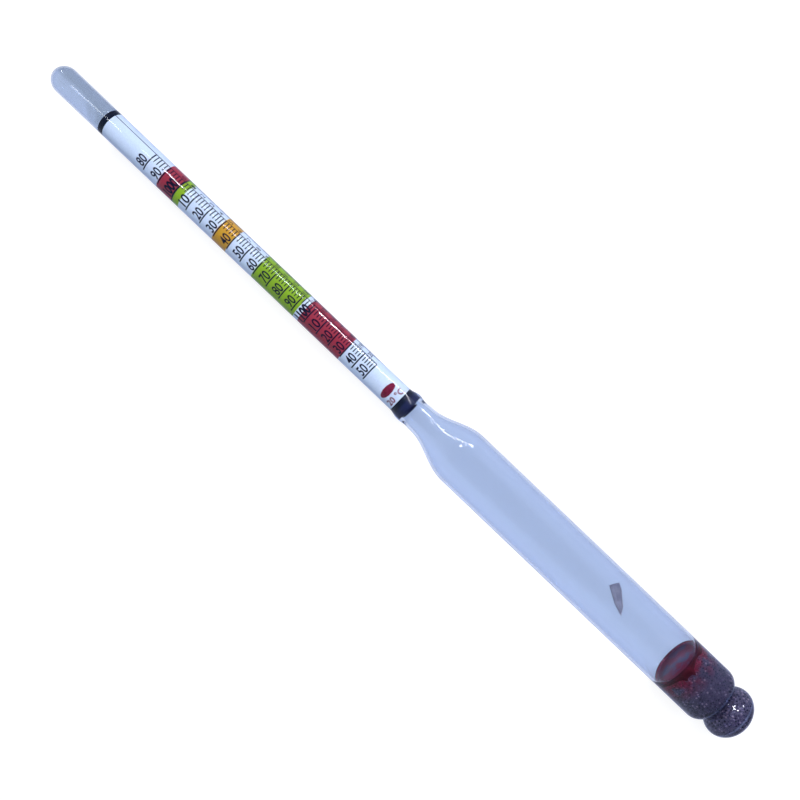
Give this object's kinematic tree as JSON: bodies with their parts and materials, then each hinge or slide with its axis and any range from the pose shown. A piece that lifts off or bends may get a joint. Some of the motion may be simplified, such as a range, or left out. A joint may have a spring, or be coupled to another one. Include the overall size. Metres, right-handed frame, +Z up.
{
  "type": "hydrometer",
  "caption": "Sealed glass hydrometer: weighted float body, narrow closed stem and a rolled paper density scale inside it.",
  "frame": {"origin": "under the middle of the length, on the surface that the float body lies on", "axes": "+X along the instrument's axis towards the stem's closed tip, +Z up as it lies on a table, scale facing up"},
  "size_m": [0.25, 0.016, 0.016],
  "materials": {
    "clear_glass": "polished",
    "printed_paper": "matte",
    "black_band": "satin",
    "red_wax": "satin",
    "shot": "satin",
    "flake": "satin"
  },
  "bodies": {
    "root": {"stem_tube": "clear_glass", "float_body": "clear_glass", "scale_paper": "printed_paper", "upper_band": "black_band", "lower_band": "black_band", "wax_seal": "red_wax", "ballast_shot": "shot", "bulb_shot": "shot", "loose_flake": "flake"}
  },
  "joints": []
}
